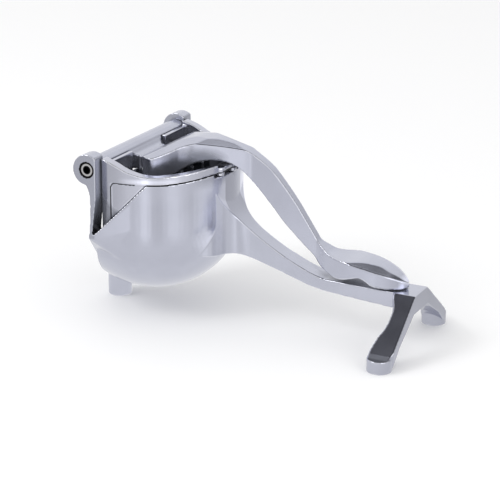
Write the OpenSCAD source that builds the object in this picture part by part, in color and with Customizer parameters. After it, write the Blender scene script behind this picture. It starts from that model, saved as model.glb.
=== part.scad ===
// Hand lever juice press: a cast bowl on a spout leg and a forked stand, a lift-out strainer cup and a
// press lever hinged between two ears. X runs from the spout to the grip, Z is up, the table is at z = 0.

/* [Overall] */
// Length from the front of the spout to the end of the stand
reach_l = 220; // [205:1:240]
// Width over the outer faces of the two ears
ears_w = 125; // [122:1:135]
// Height of the hinge axis above the table
hinge_h = 102.5; // [99:0.5:108]

/* [Bowl] */
// Outer radius of the bowl
bowl_r = 56; // [54:0.5:57]
// Distance from the hinge axis back to the upright axis of the bowl
bowl_set = 14; // [12:0.5:16]
// Thickness of the bowl's wall
bowl_wall = 3.2; // [2.4:0.2:4]
// Height of the rim above the table, at the bowl's sides
rim_h = 94.4; // [90:0.2:96]
// How much higher the rim is at the back
rim_rise = 4; // [0:0.5:6]
// Height of the bowl's underside above the table
bowl_clear = 12.5; // [8:0.5:18]
// Depth of the rounded bottom, from its underside to the upright wall
bowl_round = 53; // [46:0.5:58]

/* [Spout and gutter] */
// Outer radius of the spout
spout_r = 7.8; // [7:0.2:10]
// Radius of the spout's bore
spout_bore_r = 5.2; // [4:0.2:6]
// Distance from the hinge axis forward to the spout's axis
spout_set = 14.1; // [12:0.5:20]
// Height of the gutter where it runs into the spout
gutter_low_h = 41; // [34:1:48]
// Height of the gutter's lip between the ears
gutter_lip_h = 61; // [56:1:64]

/* [Ears] */
// Radius of the round top of an ear
ear_r = 9.7; // [8.5:0.1:12]
// Thickness of an ear's round top along the hinge axis
ear_t = 10.5; // [9:0.5:12]
// Thickness of the strap below it along the hinge axis
strap_t = 8; // [6:0.5:9]
// Distance from the hinge axis back to the ear's flat rear face
ear_flat = 6; // [5.6:0.1:6.4]

/* [Hinge] */
// Radius of the cross bar that turns between the ears
bar_r = 6; // [5:0.1:6.4]
// Side gap between the cross bar's end and an ear
bar_gap = 0.5; // [0.3:0.1:1]
// Diameter of the pivot screws
screw_d = 5; // [4:0.5:6]
// Diameter of a screw's head
screw_head_d = 8.5; // [8:0.1:9]
// Height of a screw's head
screw_head_h = 5; // [4:0.2:6]
// Width across the flats of the hexagon socket
socket_af = 4; // [3:0.5:5]
// Length of a screw under its head
screw_l = 22; // [18:1:30]
// Radial play of a pivot screw in its ear
pivot_play = 0.05; // [0.02:0.01:0.1]
// Radial room round a screw's head in its counterbore
head_room = 0.75; // [0.4:0.05:1]
// Depth of a screw's head below the ear's outer face
head_sunk = 0.4; // [0.2:0.1:1]
// End play between a screw's head and the floor of its counterbore
head_play = 0.2; // [0.1:0.05:0.5]

/* [Strainer cup] */
// Gap between the strainer cup and the bowl around it
cup_gap = 0.8; // [0.4:0.1:1.2]
// Thickness of the strainer cup's wall
cup_wall = 2.6; // [2:0.2:3.4]
// Height of the cup's floor above the table, on its underside
cup_floor_h = 27; // [22:1:32]
// Height of the cup's rim band
band_h = 4.9; // [4:0.1:6]
// Gap between the rim band and the bowl's rim
band_gap = 0.3; // [0.2:0.1:1]
// Width of one drain slot
slot_w = 4; // [3:0.5:5]
// Number of drain slots round the wall
slot_count = 20; // [12:1:24]
// Diameter of one drain hole in the floor
drain_d = 4; // [3:0.5:5]
// Width of the front posts that stand over the bowl's rim, along X
post_w = 6.5; // [5:0.5:9]
// How far the panel beside a post stands back from the band
panel_set = 0.6; // [0.3:0.1:1.5]
// Width of the lift tab at the back
tab_w = 32; // [24:1:33]

/* [Press lever] */
// Half width of the neck between the cross bar and the block
neck_w = 18; // [16:0.5:20]
// How much wider the neck is on each side where it joins the bar
neck_flare = 3; // [1:0.25:4]
// Depth of the neck's underside below the hinge axis
neck_t = 9.2; // [8:0.1:10]
// Height of the lever's shoulder above the hinge axis
shoulder_rise = 13.9; // [11:0.1:16]
// Half width of the pressing block
ram_w = 36; // [32:0.5:37]
// Distance from the hinge axis to the block's front
ram_front = 10; // [9.8:0.1:11]
// Distance from the hinge axis to the block's back
ram_back = 41; // [38:0.5:43]
// Gap kept between the swinging block and the strainer cup
ram_gap = 3; // [2:0.25:5]
// Reach of the block's sole from the hinge axis
ram_reach = 60; // [50:0.5:62]
// Thickness of the block's ribs and walls
rib_t = 3; // [2:0.5:4]
// Distance from rib to rib
rib_pitch = 13.2; // [12:0.2:15]
// Half width of the lever's arm
arm_w = 3.8; // [3:0.1:5]
// Greatest depth of the lever's arm
lever_t = 23.3; // [20:0.1:26]
// Distance from the hinge axis to the tip of the grip
grip_reach = 190; // [180:0.5:194]
// Length of the grip, from the lever's waist to its tip
grip_l = 50; // [46:0.5:56]
// Height of the waist above the grip's heel
waist_rise = 15.6; // [14:0.1:17]
// How far the grip's top falls from the waist to the tip
grip_fall = 11.9; // [10:0.1:13]
// Half width of the leaf-shaped grip
grip_w = 14.2; // [11:0.1:16]
// Angle at which the grip's top falls away to each side of its flat middle
grip_slope = 26.5; // [20:0.5:32]
// Gap between the grip's heel and the lower arm when the lever is down
heel_gap = 0.6; // [0.3:0.1:2]

/* [Lower arm and stand] */
// Height of the stand's flat top above the table
stand_h = 36.7; // [34:0.5:40]
// Depth of the lower arm at the stand
arm_depth = 10; // [8:0.5:12]
// Width over the two feet
feet_w = 106; // [90:1:120]
// Radius of a foot pad
foot_r = 7.75; // [7:0.25:9]
// Height of a foot pad
foot_h = 8; // [6:0.5:10]
// Width of the pad's rim that shows round the end of a leg
pad_edge = 0.5; // [0.3:0.1:1.5]
// Length of the stand's top along the arm
stand_l = 14.2; // [12:0.2:18]

/* [Hidden] */
$fn = 96;
far = 400;

// Places along X, from the middle of the whole length
spout_x = -reach_l / 2 + spout_r;
hinge_x = spout_x + spout_set;
bowl_x = hinge_x + bowl_set;
end_x = reach_l / 2;
foot_x = end_x - foot_r - 0.35;
foot_y = feet_w / 2 - foot_r;
ear_out = ears_w / 2;
ear_in = ear_out - ear_t;
bar_end = ear_in - bar_gap;

function mix(a, b, t) = a + (b - a) * t;
function bend(a, b, c, d, t) =
    0.5 * (2 * b + (c - a) * t + (2 * a - 5 * b + 4 * c - d) * t * t + (3 * b - a - 3 * c + d) * t * t * t);
// A smooth line through the points p, with n steps from each to the next
function smooth(p, n = 5) = [
    for (i = [0 : len(p) - 2], k = [0 : n - 1])
        bend(p[max(i - 1, 0)], p[i], p[i + 1], p[min(i + 2, len(p) - 1)], k / n),
    p[len(p) - 1]
];
// A line from a to b, where each pair is a share of the way along X and of the way up or down
function along(a, b, shares) = [for (p = shares) [mix(a[0], b[0], p[0]), mix(a[1], b[1], p[1])]];
function backward(p) = [for (i = [len(p) - 1 : -1 : 0]) p[i]];
// The outline p and its mirror image across the X axis, then across the Y axis
function mirrored(p) = concat(p, [for (q = backward(p)) [q[0], -q[1]]]);
function mirrored_y(p) = concat(p, [for (q = backward(p)) [-q[0], q[1]]]);
function arc(cx, cz, rx, rz, from, to, n = 24) =
    [for (i = [0 : n]) let (a = mix(from, to, i / n)) [cx + rx * cos(a), cz + rz * sin(a)]];

// An outline drawn in the upright XZ plane, given thickness along Y
module side(width, y = 0) {
    translate([0, y + width / 2, 0])
        rotate([90, 0, 0])
            linear_extrude(width)
                children();
}

// An outline drawn in the plan, given height
module plan(bottom, top) {
    translate([0, 0, bottom])
        linear_extrude(top - bottom)
            children();
}

// A round-bottomed pot about the upright axis x = bowl_x
module pot(r, underside, round_h, top) {
    translate([bowl_x, 0, 0])
        rotate_extrude($fn = 128)
            polygon(concat(arc(0, underside + round_h, r, round_h, -90, 0), [[r, top], [0, top]]));
}

// Bowl

notch_foot = [hinge_x + 3, gutter_lip_h - 1];
notch_slope = 46.6;
rim_front = [hinge_x + 3 + (rim_h - notch_foot[1]) / tan(notch_slope), rim_h];
bowl_back = bowl_x + bowl_r;

// Side view of all that is cut away over the rim: the notch behind the straps, then the rising rim
function rim_line(lift) = smooth([
    [rim_front[0], rim_h + lift],
    [bowl_x + 30, rim_h + lift],
    [mix(bowl_x + 30, bowl_back, 0.55), rim_h + lift + rim_rise * 0.4],
    [bowl_back, rim_h + lift + rim_rise]
]);

module over_rim(lift = 0) {
    side(far)
        polygon(concat(
            [[hinge_x + ear_flat, far], [hinge_x + ear_flat, rim_h - 10]],
            [[notch_foot[0], notch_foot[1] + lift]],
            rim_line(lift),
            [[far, rim_h + rim_rise + lift], [far, far]]
        ));
}

module bowl_outside() {
    intersection() {
        pot(bowl_r, bowl_clear, bowl_round, rim_h + rim_rise + 5);
        side(far)
            polygon([[hinge_x + 2, far], [hinge_x + 2, gutter_lip_h - 3], [hinge_x - 8, 25], [hinge_x - 8, 0],
                [far, 0], [far, far]]);
    }
}

module bowl_inside() {
    intersection() {
        pot(bowl_r - bowl_wall, bowl_clear + bowl_wall, bowl_round, far);
        side(far)
            polygon([[hinge_x - 1, far], [hinge_x - 1, gutter_lip_h - 3], [hinge_x - 10, 28],
                [hinge_x - 10, 0], [far, 0], [far, far]]);
    }
}

// Gutter

root_t = 2.6;

module strap_root(s) {
    translate([hinge_x + 0.7, s > 0 ? ear_out - strap_t : -ear_out, gutter_lip_h - root_t])
        cube([4, strap_t, root_t]);
}

module spout_top(r, bottom, top) {
    translate([spout_x, 0, bottom])
        cylinder(r = r, h = top - bottom, $fn = 32);
}

// Half width of the bowl's outside at a height z, a distance dx along X from its upright axis
function bowl_half(z, dx) =
    let (k = max(0, (bowl_clear + bowl_round - z) / bowl_round)) sqrt(pow(bowl_r, 2) * (1 - k * k) - dx * dx);

// A small block let into the bowl's wall, from which a web flares out to a strap
module web_root(s, z, h) {
    dx = 10;
    translate([bowl_x + dx, s * (bowl_half(z, dx) - 1.4) - 1, z])
        cube([2, 2, h]);
}

module gutter_outside() {
    hull() {
        strap_root(-1);
        strap_root(1);
        spout_top(spout_r, 14, gutter_low_h);
    }
    for (s = [-1, 1])
        hull() {
            strap_root(s);
            web_root(s, bowl_clear + bowl_round, rim_h - 12 - bowl_clear - bowl_round);
            web_root(s, 34, 1);
            spout_top(spout_r, 14, 24);
        }
}

module gutter_inside() {
    hull() {
        translate([hinge_x + 4, -(ear_out - strap_t - 4), gutter_lip_h])
            cube([5, 2 * (ear_out - strap_t - 4), 8]);
        spout_top(spout_bore_r, 20, gutter_low_h + 12);
    }
}

module spout() {
    edge = 1;
    translate([spout_x, 0, 0])
        rotate_extrude()
            polygon(concat(
                [[0, 0]],
                arc(spout_r - edge, edge, edge, edge, -90, 0, 8),
                [[spout_r, 30], [0, 30]]
            ));
}

// Ears

module ear(s) {
    y0 = s > 0 ? ear_in : -ear_out;
    difference() {
        translate([hinge_x, y0, hinge_h])
            rotate([-90, 0, 0])
                cylinder(r = ear_r, h = ear_t);
        translate([hinge_x + ear_flat, -far / 2, 0])
            cube([far, far, far]);
    }
    side(strap_t, s * (ear_out - strap_t / 2))
        polygon(concat(
            smooth([
                [hinge_x - 4.5, hinge_h - 5],
                [hinge_x - 0.5, hinge_h - ear_r - 0.2],
                [hinge_x + 1.6, hinge_h - 15.5],
                [hinge_x + 2.1, hinge_h - 22],
                [hinge_x + 1.8, hinge_h - 32],
                [hinge_x + 0.8, gutter_lip_h - root_t]
            ]),
            [[hinge_x + 4, gutter_lip_h - root_t], [notch_foot[0] + 0.6, gutter_lip_h],
                [hinge_x + ear_flat, rim_h - 10], [hinge_x + ear_flat, hinge_h]]
        ));
}

module ear_holes(s) {
    head_seat = screw_head_h + head_sunk + head_play;
    translate([hinge_x, 0, hinge_h])
        rotate([s > 0 ? -90 : 90, 0, 0]) {
            translate([0, 0, ear_in - 1])
                cylinder(d = screw_d + 2 * pivot_play, h = ear_t + 2);
            translate([0, 0, ear_out - head_seat])
                cylinder(r = screw_head_d / 2 + head_room, h = head_seat + 1);
        }
}

// Lower arm and stand

arm_root_x = bowl_back - 4;
arm_flat_x = end_x - 62;

module arm_side() {
    a = [arm_root_x, rim_h - 6];
    b = [arm_flat_x, stand_h];
    c = [bowl_x + 52, bowl_clear + 31];
    d = [arm_flat_x, stand_h - arm_depth + 2.4];
    fall = [[0, 0], [0.05, 0.2], [0.13, 0.37], [0.27, 0.54], [0.47, 0.71], [0.66, 0.84], [0.85, 0.945],
        [1, 1]];
    belly = [[0, 0], [0.1, -0.06], [0.25, 0.06], [0.45, 0.33], [0.66, 0.62], [0.84, 0.87], [1, 1]];
    polygon(concat(
        [[bowl_x + 34, a[1]]],
        smooth(along(a, b, fall)),
        [[end_x, stand_h], [end_x, stand_h - arm_depth]],
        [[end_x - stand_l - 2, stand_h - arm_depth]],
        smooth(backward(along(c, d, belly))),
        [[bowl_x + 34, c[1] + 3]]
    ));
}

module arm_plan() {
    polygon(mirrored(smooth([
        [bowl_x + 36, 30],
        [bowl_back - 7, 23],
        [bowl_back + 1, 13],
        [bowl_back + 8, 7.8],
        [bowl_back + 22, 6.2],
        [mix(bowl_back, end_x, 0.45), 7.2],
        [mix(bowl_back, end_x, 0.7), 9],
        [end_x, 10]
    ])));
}

// The hollow between the two webs at the arm's root, which stops at the bowl's wall
module arm_hollow() {
    difference() {
        translate([bowl_back + 12, 0, rim_h + 2])
            sphere(r = 22, $fn = 64);
        pot(bowl_r, bowl_clear, bowl_round, far);
    }
}

module arm() {
    difference() {
        intersection() {
            side(2 * bowl_r)
                arm_side();
            plan(0, far)
                arm_plan();
        }
        arm_hollow();
    }
}

module stand_face() {
    shoulder = 10;
    crown = stand_h - arm_depth - 1.4;
    foot_top = foot_h + 2;
    polygon(mirrored_y([
        [shoulder, stand_h],
        [foot_y, foot_top],
        [foot_y + foot_r - 2, foot_h - 1],
        [foot_y + foot_r - 2, foot_h - 3],
        [foot_y - 2, 2.5],
        [mix(shoulder, foot_y, 0.67), mix(crown, 2.5, 0.6)],
        [mix(shoulder, foot_y, 0.23), mix(crown, 2.5, 0.19)],
        [mix(shoulder, foot_y, 0.05), crown]
    ]));
}

module stand_plan() {
    // The leg's round end stands a little back from the pad's edge
    r = foot_r - pad_edge;
    polygon(mirrored(concat(
        [[end_x, 0], [end_x, foot_y - 2], [foot_x + r, foot_y]],
        arc(foot_x, foot_y, r, r, 0, 180, 16),
        smooth([
            [foot_x - r, foot_y - 2],
            [foot_x - r + 1.6, foot_y - 9],
            [end_x - 11.6, foot_y - 14],
            [end_x - 10.6, mix(10, foot_y, 0.42)],
            [end_x - 11.1, mix(10, foot_y, 0.24)],
            [end_x - stand_l, 11],
            [end_x - stand_l, 0]
        ])
    )));
}

module stand() {
    intersection() {
        translate([end_x, 0, 0])
            rotate([90, 0, -90])
                linear_extrude(3 * foot_r)
                    stand_face();
        plan(0, far)
            stand_plan();
    }
    for (s = [-1, 1])
        translate([foot_x, s * foot_y, 0])
            cylinder(r = foot_r, h = foot_h);
}

module press_body() {
    color("#b4b8c6")
        difference() {
            union() {
                bowl_outside();
                gutter_outside();
                spout();
                for (s = [-1, 1])
                    ear(s);
                arm();
                stand();
            }
            bowl_inside();
            gutter_inside();
            intersection() {
                over_rim();
                translate([hinge_x, -far / 2, 0])
                    cube([bowl_back - hinge_x, far, far]);
            }
            translate([spout_x, 0, -1])
                cylinder(r = spout_bore_r, h = 40);
            // Notch in the rim for the cup's tab
            translate([bowl_back - 14, -tab_w / 2 - tab_room, tab_low_h - 0.6])
                cube([20, tab_w + 2 * tab_room, far]);
            for (s = [-1, 1])
                ear_holes(s);
            // Room in which the cross bar turns
            translate([hinge_x, 0, hinge_h])
                rotate([90, 0, 0])
                    cylinder(r = bar_r + bar_gap, h = 2 * ear_in, center = true);
        }
}

// Strainer cup

cup_r = bowl_r - bowl_wall - cup_gap;
cup_front = hinge_x + ear_flat + 0.6;
tab_low_h = rim_h + 1.5;
tab_top_h = hinge_h - 1.5;
// Free width beside the tab in the bowl's notch, and half width of the rim's low part under the arm
tab_room = 4;
neck_room = tab_w / 2 + 1;

function band_line(lift) = smooth([
    [cup_front - 1, hinge_h + 6.6],
    [hinge_x + 14.5, hinge_h + 4],
    [hinge_x + 24.6, rim_h + lift + 2.4],
    [hinge_x + 35, rim_h + lift],
    [hinge_x + 43, rim_h + lift],
    [mix(bowl_x + 30, bowl_back, 0.55), rim_h + lift + rim_rise * 0.4],
    [bowl_back + 1, rim_h + lift + rim_rise]
]);

module cup_outside() {
    pot(cup_r, cup_floor_h, bowl_clear + bowl_round - cup_floor_h, far);
    // The rim band and front posts are flush with the bowl, and the panel in its notch stands back a little
    intersection() {
        over_rim(band_gap);
        union() {
            pot(bowl_r - panel_set, bowl_clear, bowl_round, far);
            intersection() {
                pot(bowl_r, bowl_clear, bowl_round, far);
                union() {
                    translate([cup_front, -far / 2, 0])
                        cube([post_w, far, far]);
                    translate([cup_front, -far / 2, rim_h + 0.1])
                        cube([far, far, far]);
                }
            }
        }
    }
    tab();
}

module cup_hollow() {
    round_h = bowl_clear + bowl_round - cup_floor_h;
    intersection() {
        pot(cup_r - cup_wall, cup_floor_h + cup_wall, round_h, far);
        translate([cup_front + cup_wall, -far / 2, 0])
            cube([far, far, far]);
    }
}

// Three rounded lobes behind the rim, under a plate that joins them, by which the cup is lifted out
module tab() {
    lobe = 2.6;
    plate_t = 3;
    ring_r = bowl_r - lobe / 2;
    for (k = [-1 : 1])
        let (y = k * (tab_w / 2 - lobe))
            translate([bowl_x + sqrt(ring_r * ring_r - y * y), y, tab_low_h])
                cylinder(r = lobe, h = tab_top_h - tab_low_h, $fn = 48);
    intersection() {
        pot(ring_r + lobe / 2, bowl_clear, bowl_round, tab_top_h);
        translate([bowl_x + bowl_r / 2, lobe - tab_w / 2, tab_top_h - plate_t])
            cube([bowl_r, tab_w - 2 * lobe, plate_t]);
    }
}

module strainer_cup() {
    color("#c3c6d0")
        difference() {
            cup_outside();
            translate([cup_front - far, -far / 2, 0])
                cube([far, far, far]);
            side(far)
                polygon(concat(band_line(band_h + band_gap), [[far, rim_h + rim_rise + band_h], [far, far],
                    [cup_front - 1, far]]));
            cup_hollow();
            // The front wall is level with the cross bar's edge and lower under the neck
            for (w = [[cup_r - cup_wall - 0.5, 0.5 * bar_r], [neck_w + neck_flare + 0.5, -neck_t - 0.9]])
                translate([cup_front - 1, -w[0], hinge_h + w[1]])
                    cube([cup_wall + 2, 2 * w[0], far]);
            translate([bowl_x + 30, -neck_room, tab_top_h])
                cube([40, 2 * neck_room, far]);
            drains();
        }
}

module drains() {
    slot_h = 30;
    for (i = [0 : slot_count - 1])
        let (a = mix(-80, 80, i / (slot_count - 1)))
            translate([bowl_x, 0, 0])
                rotate([0, 0, a])
                    translate([cup_r - 3 * cup_wall, -slot_w / 2, cup_floor_h + 20])
                        cube([4 * cup_wall, slot_w, slot_h]);
    for (i = [-3 : 3])
        translate([cup_front - 1, i * (slot_w + 6) - slot_w / 2, cup_floor_h + 20])
            cube([cup_wall + 2, slot_w, slot_h]);
    for (x = [0.5 : 3.5], y = [-2 : 2])
        translate([bowl_x + x * 2 * drain_d, y * 2 * drain_d, 0])
            cylinder(d = drain_d, h = cup_floor_h + 18, $fn = 24);
}

// Press lever, drawn from the hinge axis: x back from it and z above it

dip = [ram_front + 3, -1.1];
shoulder = [ram_back + 13, shoulder_rise];
// The pressing block hangs from this depth, a little inside the neck's underside
block_top = neck_t - 1;
// The grip's heel lies this high when the lever is down
rest = stand_h + heel_gap - hinge_h;
waist = [grip_reach - grip_l, rest + waist_rise];
tip = [grip_reach, waist[1] - grip_fall];

// From the shoulder to the waist: shares of the way along X and down, then of lever_t for the arm's depth
ARM = [[0.02, 0, 0.57], [0.09, 0.004, 0.53], [0.19, 0.027, 0.52], [0.26, 0.055, 0.58], [0.33, 0.094, 0.7],
    [0.42, 0.162, 0.85], [0.51, 0.252, 0.97], [0.6, 0.383, 1], [0.7, 0.551, 0.89], [0.78, 0.706, 0.73],
    [0.85, 0.844, 0.57], [0.88, 0.904, 0.55], [0.92, 0.942, 0.57], [0.95, 0.968, 0.54], [1, 1, 0.52]];

function lever_crest() = smooth(concat(
    [[0, bar_r - 0.1], [bar_r, 2.6], [ram_front - 1.5, -0.2]],
    along(dip, shoulder, [[0, 0], [0.044, 0.06], [0.122, 0.187], [0.193, 0.3], [0.35, 0.49], [0.5, 0.71],
        [0.573, 0.82], [0.754, 0.947], [0.854, 0.987]]),
    along(shoulder, waist, ARM),
    along(waist, tip, [[0.2, 0.076], [0.4, 0.034], [0.53, 0.067], [0.66, 0.18], [0.8, 0.46], [0.9, 0.7],
        [1, 1]])
));

function lever_belly() = smooth(concat(
    [[0, 0.5 - bar_r], [bar_r - 1.5, -bar_r - 0.4], [bar_r + 0.2, -neck_t], [ram_front + 4, -neck_t - 0.2]],
    [[ram_back - 5, -neck_t - 0.2], [ram_back - 3, 0.4 - neck_t], [ram_back, 3.1 - neck_t]],
    [[ram_back + 3, 5.3 - neck_t], [ram_back + 8, 8 - neck_t]],
    [for (p = ARM) [mix(shoulder[0], waist[0], p[0]), mix(shoulder[1], waist[1], p[1]) - p[2] * lever_t]],
    [for (p = [[0.08, 2.4], [0.16, 2.6], [0.24, 3.4], [0.34, 5], [0.44, 6.2], [0.52, 4.6], [0.6, 2.2],
        [0.72, 0.9], [0.86, 0.2], [0.94, 0.1], [1, 0.9]])
        [waist[0] + p[0] * grip_l, rest + p[1]]]
));

// Half width of the lever in plan: neck, pressing block, arm and grip
function lever_half() = smooth(concat(
    [[0, neck_w + neck_flare], [bar_r, neck_w + neck_flare - 0.3], [ram_front - 2.5, neck_w]],
    along([ram_front, neck_w - 2.2], [ram_front + 20, ram_w],
        [[0, 0], [0.15, 0.03], [0.24, 0.17], [0.4, 0.46], [0.545, 0.71], [0.7, 0.88], [0.865, 0.975],
            [1, 1]]),
    along([ram_front + 20, ram_w], [shoulder[0], arm_w + 10],
        [[0.08, 0.035], [0.2, 0.17], [0.29, 0.3], [0.37, 0.43], [0.44, 0.56], [0.52, 0.69], [0.73, 0.88],
            [1, 1]]),
    along([shoulder[0], arm_w + 10], [waist[0] - 54, arm_w + 0.2],
        [[0.17, 0.215], [0.34, 0.42], [0.5, 0.595], [0.66, 0.75], [0.8, 0.88], [0.91, 0.96], [1, 1]]),
    [[waist[0] - 34, arm_w - 0.5], [waist[0] - 13, arm_w - 0.7], [waist[0] - 10, arm_w - 0.3]],
    [[waist[0] - 7, arm_w + 1], [waist[0] - 4, arm_w + 2.5]],
    [for (p = [[0, 0.57], [0.12, 0.77], [0.2, 0.89], [0.3, 0.98], [0.4, 1], [0.6, 0.95], [0.7, 0.84],
        [0.8, 0.68], [0.9, 0.43], [0.96, 0.23], [1, 0]])
        [waist[0] + p[0] * grip_l, p[1] * grip_w]]
));

// Space that the block sweeps as it swings, at each y a distance from the hinge axis
module swing(margin, reach) {
    rotate([-90, 0, 0])
        rotate_extrude($fn = 128)
            intersection() {
                translate([bowl_set - margin, 0])
                    circle(r = cup_r - cup_wall, $fn = 128);
                translate([0, -far / 2])
                    square([reach, far]);
            }
}

module ram_plan(front) {
    intersection() {
        polygon(mirrored(lever_half()));
        translate([front, -far / 2])
            square([ram_back - front, far]);
    }
}

// Pockets from the back that leave the block's ribs
module ram_pockets() {
    intersection() {
        plan(-ram_reach, -block_top)
            translate([rib_t, 0])
                offset(delta = -rib_t)
                    translate([2 * rib_t, 0])
                        ram_plan(ram_front + 6);
        swing(ram_gap + rib_t + 2, ram_reach - 2 * rib_t);
        union()
            for (i = [-3 : 2])
                translate([0, i * rib_pitch + rib_t / 2, -far / 2])
                    cube([far, rib_pitch - rib_t, far]);
    }
}

module ram() {
    difference() {
        intersection() {
            plan(-ram_reach, -block_top)
                ram_plan(ram_front);
            swing(ram_gap, ram_reach);
        }
        ram_pockets();
    }
}

// A roof that falls to both sides of a ridge, which is ridge high at x and leans along X
module roof(x, ridge, lean, fall) {
    translate([x, 0, ridge])
        rotate([0, atan(lean), 0])
            rotate([90, 0, 90])
                linear_extrude(2 * far, center = true)
                    polygon(mirrored_y([[0, 0], [far, -fall * far], [far, -2 * far]]));
}

// The lever's top falls away gently over the block and more steeply beside the shoulder's flat spine
module lever_roof() {
    intersection() {
        roof(shoulder[0] - 7, shoulder_rise + 1, -0.1, 0.236);
        roof(shoulder[0] + 10, shoulder_rise + 1.1, 0.25, 0.45);
    }
}

module lever_blank() {
    intersection() {
        side(2 * ram_w)
            polygon(concat(lever_crest(), backward(lever_belly())));
        plan(-far, far)
            polygon(mirrored(lever_half()));
        lever_roof();
    }
}

// Height of the grip's sloping side above the middle plane, as shares of the way from the waist to the tip
function grip_slope_line() = smooth(along(waist, tip, [[-0.1, -0.72], [0, -0.64], [0.12, -0.555],
    [0.2, -0.487], [0.32, -0.429], [0.46, -0.328], [0.588, -0.2], [0.704, 0.008], [0.81, 0.252],
    [0.92, 0.626], [1, 0.96], [1.06, 1.24]]));

// All that is above the sloping side of the grip that faces -Y
module over_grip_slope() {
    line = [for (p = grip_slope_line()) [p[0], p[1] * cos(grip_slope)]];
    rotate([grip_slope, 0, 0])
        side(2 * far)
            polygon(concat(line, [[line[len(line) - 1][0], far], [line[0][0], far]]));
}

module cross_bar() {
    rotate([90, 0, 0])
        cylinder(r = bar_r, h = 2 * bar_end, center = true);
    // A square edge along the bar's top, towards the cup
    side(2 * bar_end)
        polygon([[0, bar_r - 0.1], [0.55 * bar_r, 0.9 * bar_r], [bar_r, 0.6 * bar_r], [bar_r, 0.4 * bar_r],
            [0, 0]]);
}

module press_lever() {
    color("#b8bcca")
        translate([hinge_x, 0, hinge_h])
            difference() {
                union() {
                    cross_bar();
                    ram();
                    lever_blank();
                }
                over_grip_slope();
                mirror([0, 1, 0])
                    over_grip_slope();
                for (s = [-1, 1])
                    rotate([s * 90, 0, 0])
                        translate([0, 0, bar_end - screw_l])
                            cylinder(d = screw_d, h = screw_l + 1);
            }
}

// Hinge screws

module pivot_screw(s) {
    seat = ear_out - screw_head_h - head_sunk;
    color("#8d9096")
        translate([hinge_x, 0, hinge_h])
            rotate([s > 0 ? -90 : 90, 0, 0])
                difference() {
                    union() {
                        translate([0, 0, seat - screw_l])
                            cylinder(d = screw_d, h = screw_l + 0.1);
                        translate([0, 0, seat])
                            cylinder(d = screw_head_d, h = screw_head_h);
                    }
                    translate([0, 0, seat + screw_head_h * 0.45])
                        cylinder(d = socket_af / cos(30), h = screw_head_h, $fn = 6);
                }
}

module pivot_screw_near() { pivot_screw(-1); }
module pivot_screw_far() { pivot_screw(1); }

press_body();
strainer_cup();
press_lever();
pivot_screw_near();
pivot_screw_far();
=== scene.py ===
# %% [markdown]
# # A hand lever juice press
#
# This lesson dresses a small kitchen press. It is three aluminium castings: a body with its bowl, spout and
# forked stand, a strainer cup that drops into the bowl, and a lever with a ribbed pressing block. Two steel
# screws make the hinge. The frame holds every piece at its real size, in metres, so nothing is moved here:
# the work is in soft cast edges, a believable metal and a studio that the metal can mirror.

# %% Load the frame
import math

import bpy
import numpy as np
from mathutils import Matrix, Vector
from mathutils.bvhtree import BVHTree


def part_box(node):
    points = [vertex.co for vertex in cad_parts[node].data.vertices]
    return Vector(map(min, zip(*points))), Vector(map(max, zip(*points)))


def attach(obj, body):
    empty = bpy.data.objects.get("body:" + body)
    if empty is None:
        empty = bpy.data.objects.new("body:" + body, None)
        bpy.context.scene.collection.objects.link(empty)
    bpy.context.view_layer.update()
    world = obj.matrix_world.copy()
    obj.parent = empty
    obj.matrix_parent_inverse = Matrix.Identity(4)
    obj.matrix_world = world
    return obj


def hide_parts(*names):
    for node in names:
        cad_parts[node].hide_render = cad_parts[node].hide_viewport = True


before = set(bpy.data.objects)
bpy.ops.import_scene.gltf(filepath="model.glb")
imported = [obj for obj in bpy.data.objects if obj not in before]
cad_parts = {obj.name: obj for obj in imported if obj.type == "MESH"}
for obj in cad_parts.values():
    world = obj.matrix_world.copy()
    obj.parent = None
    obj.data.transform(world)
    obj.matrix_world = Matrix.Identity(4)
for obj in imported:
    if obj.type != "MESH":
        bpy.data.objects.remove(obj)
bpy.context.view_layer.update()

MM = 0.001
print("nodes:", sorted(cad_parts))

# %% [markdown]
# ## The camera
#
# The picture was taken from the spout's side and a little above, with a long lens, so that the lines of the
# press hardly converge. A camera is easiest to understand as a point to aim at, a distance, and three angles:
# round the object, above the table, and a small roll of the camera itself.

# %% Place the camera
AIM = Vector((-0.0027, -0.0080, 0.0479))
CAMERA_DISTANCE = 1.1287
AZIMUTH = math.radians(26.20)
ELEVATION = math.radians(18.91)
ROLL = math.radians(0.47)
LENS_MM = 129.3
SENSOR_MM = 36
NEAREST_SEEN = 0.01


def add_camera():
    forward = Vector((
        -math.sin(AZIMUTH) * math.cos(ELEVATION),
        math.cos(AZIMUTH) * math.cos(ELEVATION),
        -math.sin(ELEVATION),
    ))
    level = Vector((math.cos(AZIMUTH), math.sin(AZIMUTH), 0))
    above = level.cross(forward)
    right = level * math.cos(ROLL) + above * math.sin(ROLL)
    up = above * math.cos(ROLL) - level * math.sin(ROLL)
    data = bpy.data.cameras.new("camera")
    data.sensor_width = SENSOR_MM
    data.lens = LENS_MM
    data.clip_start = NEAREST_SEEN
    camera = bpy.data.objects.new("camera", data)
    turn = Matrix((right, up, -forward)).transposed().to_4x4()
    camera.matrix_world = Matrix.Translation(AIM - forward * CAMERA_DISTANCE) @ turn
    bpy.context.scene.collection.objects.link(camera)
    bpy.context.scene.camera = camera
    return camera


camera = add_camera()
print("camera at", [round(v, 3) for v in camera.location])

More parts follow.
